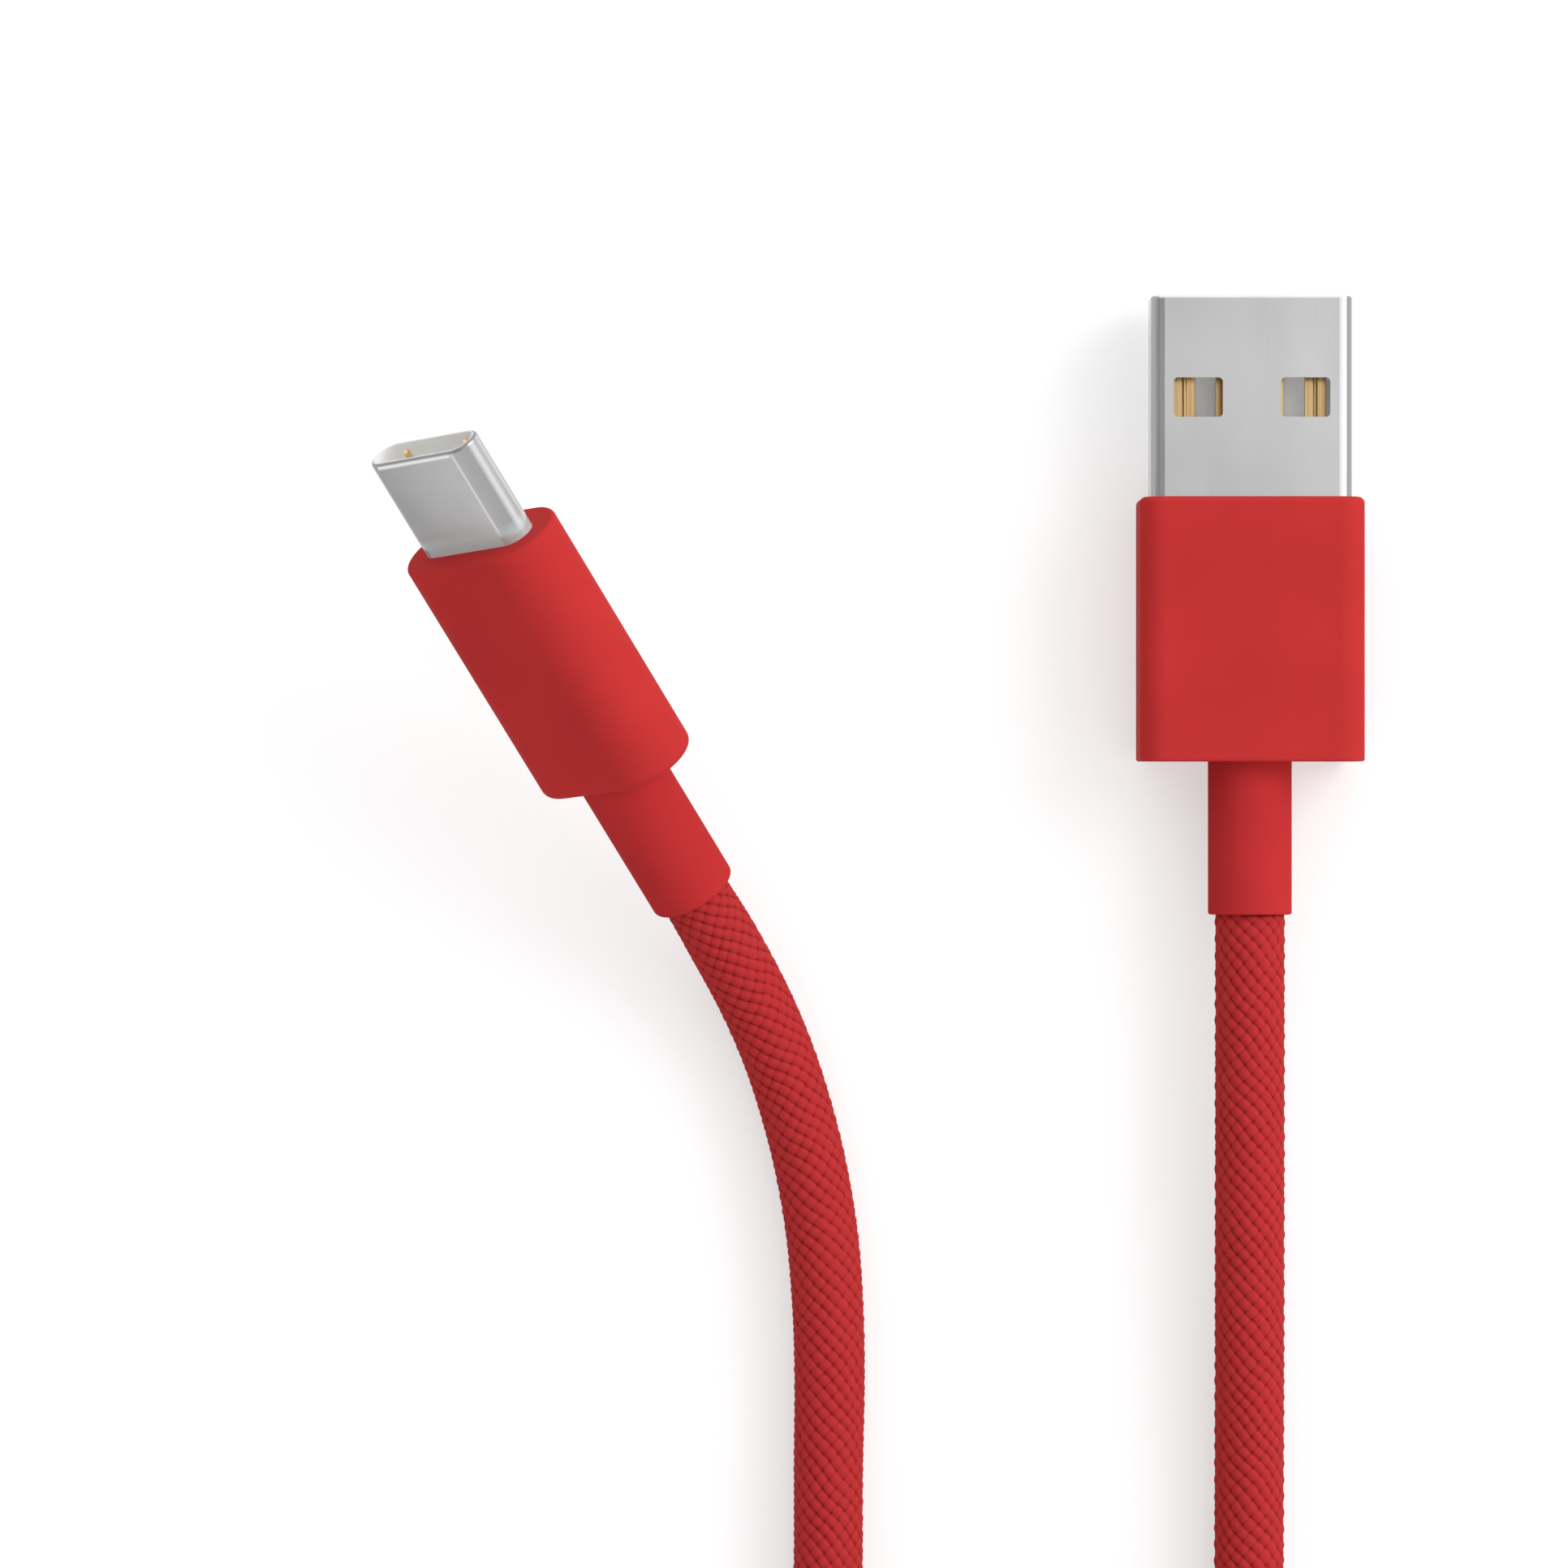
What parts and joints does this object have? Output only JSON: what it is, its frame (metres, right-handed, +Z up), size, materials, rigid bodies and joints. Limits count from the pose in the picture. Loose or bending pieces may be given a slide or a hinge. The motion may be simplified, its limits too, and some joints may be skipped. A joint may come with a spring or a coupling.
{
  "type": "charging cable",
  "caption": "Woven charging cable with a flat rectangular plug, a small oval plug, moulded covers with strain reliefs, and a long cord wound into a strapped coil.",
  "frame": {"origin": "on the table, under the middle of the flat plug's cover", "axes": "+X to the right as seen from above with the plugs pointing away, +Y the way the flat plug points, +Z up from the table"},
  "size_m": [0.0649, 0.1569, 0.0212],
  "materials": {
    "shell_steel": "nickel-plated sheet, satin",
    "contact_gold": "gold plate",
    "insulator_white": "moulded, matt",
    "insulator_grey": "moulded, matt",
    "cover_red": "moulded, matt",
    "relief_red": "soft moulded, matt",
    "mould_white": "moulded, matt",
    "ferrule_steel": "tinned sheet",
    "spring_steel": "spring sheet, bare",
    "jacket_red": "extruded jacket",
    "cord_red": "woven sleeve",
    "tie_black": "hook-and-loop tape",
    "card_green": "glass fibre board",
    "resistor_black": "ceramic chip",
    "wire_red": "insulation",
    "wire_white": "insulation",
    "wire_green": "insulation",
    "wire_black": "insulation"
  },
  "bodies": {
    "root": {"coil_tie": "tie_black", "cord_coil": "cord_red", "cord_lead_a": "cord_red", "cord_lead_c": "cord_red", "usb_a_black_wire": "wire_black", "usb_a_cord_end": "jacket_red", "usb_a_cover": "cover_red", "usb_a_crimp": "ferrule_steel", "usb_a_data_contacts": "contact_gold", "usb_a_green_wire": "wire_green", "usb_a_inner_mould": "mould_white", "usb_a_insulator": "insulator_white", "usb_a_power_contacts": "contact_gold", "usb_a_red_wire": "wire_red", "usb_a_shell": "shell_steel", "usb_a_strain_relief": "relief_red", "usb_a_white_wire": "wire_white", "usb_c_black_wire": "wire_black", "usb_c_card": "card_green", "usb_c_cord_end": "jacket_red", "usb_c_cover": "cover_red", "usb_c_crimp": "ferrule_steel", "usb_c_green_wire": "wire_green", "usb_c_ground_fingers": "contact_gold", "usb_c_housing": "insulator_grey", "usb_c_inner_mould": "mould_white", "usb_c_latches": "spring_steel", "usb_c_lower_contacts": "contact_gold", "usb_c_rear_shield": "ferrule_steel", "usb_c_red_wire": "wire_red", "usb_c_resistor": "resistor_black", "usb_c_shell": "shell_steel", "usb_c_strain_relief": "relief_red", "usb_c_upper_contacts": "contact_gold", "usb_c_white_wire": "wire_white"}
  },
  "joints": []
}
